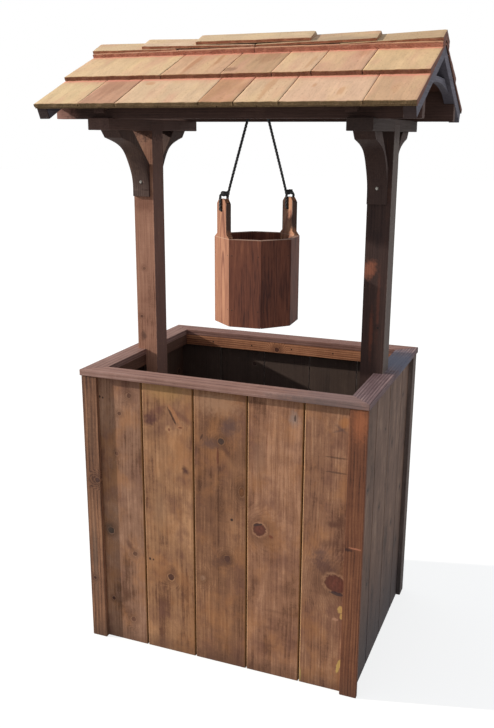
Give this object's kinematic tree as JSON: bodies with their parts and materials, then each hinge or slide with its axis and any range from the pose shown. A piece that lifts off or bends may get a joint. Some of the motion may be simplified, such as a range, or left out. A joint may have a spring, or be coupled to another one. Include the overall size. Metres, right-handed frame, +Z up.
{
  "type": "wishing well planter",
  "caption": "Wooden planter box with posts carrying a shingled gable roof and a bucket hung on a rope, like a wishing well.",
  "frame": {"origin": "on the ground at the middle of the planter box", "axes": "+X along the roof's ridge to the right, +Y to the back, +Z up"},
  "size_m": [1.072, 0.7482, 1.8858],
  "materials": {
    "board": "stained, knotty",
    "trim": "stained",
    "rail": "weathered",
    "frame_wood": "dark stained",
    "shake": "bare cedar",
    "bucket": "stained",
    "rope": "twisted",
    "hardware": "dull"
  },
  "bodies": {
    "well": {"back_boards": "board", "back_trims": "trim", "barge_left_back": "frame_wood", "barge_left_front": "frame_wood", "barge_right_back": "frame_wood", "barge_right_front": "frame_wood", "bottom_cleats": "frame_wood", "brace_left_back": "frame_wood", "brace_left_front": "frame_wood", "brace_right_back": "frame_wood", "brace_right_front": "frame_wood", "brace_screws": "hardware", "cap_rail_back": "rail", "cap_rail_front": "rail", "cap_rail_left": "rail", "cap_rail_right": "rail", "eave_beam_back": "frame_wood", "eave_beam_front": "frame_wood", "floor_cleats": "frame_wood", "floor_slats": "frame_wood", "front_board_1": "board", "front_board_2": "board", "front_board_3": "board", "front_board_4": "board", "front_board_5": "board", "front_trim_left": "trim", "front_trim_right": "trim", "gable_arch_left": "frame_wood", "gable_arch_right": "frame_wood", "head_beam_left": "frame_wood", "head_beam_right": "frame_wood", "inner_rafters_left": "frame_wood", "inner_rafters_right": "frame_wood", "left_boards": "board", "post_left": "frame_wood", "post_right": "frame_wood", "ridge_beam": "frame_wood", "ridge_caps": "shake", "ridge_starters": "shake", "right_board_1": "board", "right_board_2": "board", "right_board_3": "board", "right_board_4": "board", "rope_hook": "hardware", "shakes_lower_back": "shake", "shakes_lower_front": "shake", "shakes_upper_back": "shake", "shakes_upper_front": "shake", "side_trims": "trim", "top_cleat_back": "frame_wood", "top_cleat_front": "frame_wood", "top_cleat_left": "frame_wood", "top_cleat_right": "frame_wood"},
    "rope": {"rope": "rope", "rope_knots": "rope"},
    "bucket": {"ear_stave_left": "bucket", "ear_stave_right": "bucket", "bucket_staves": "bucket", "bucket_bottom": "bucket"}
  },
  "joints": [
    {"name": "rope_swing", "type": "hinge", "parent": "well", "child": "rope", "pos_m": [-0.00394, -0.00453, 1.7457], "axis": [-0.6561, -0.7547, 0], "range_deg": [-25, 25]},
    {"name": "bucket_tilt", "type": "hinge", "parent": "rope", "child": "bucket", "pos_m": [-0.00394, -0.00453, 1.381], "axis": [-0.6561, -0.7547, 0], "range_deg": [-30, 30]}
  ]
}
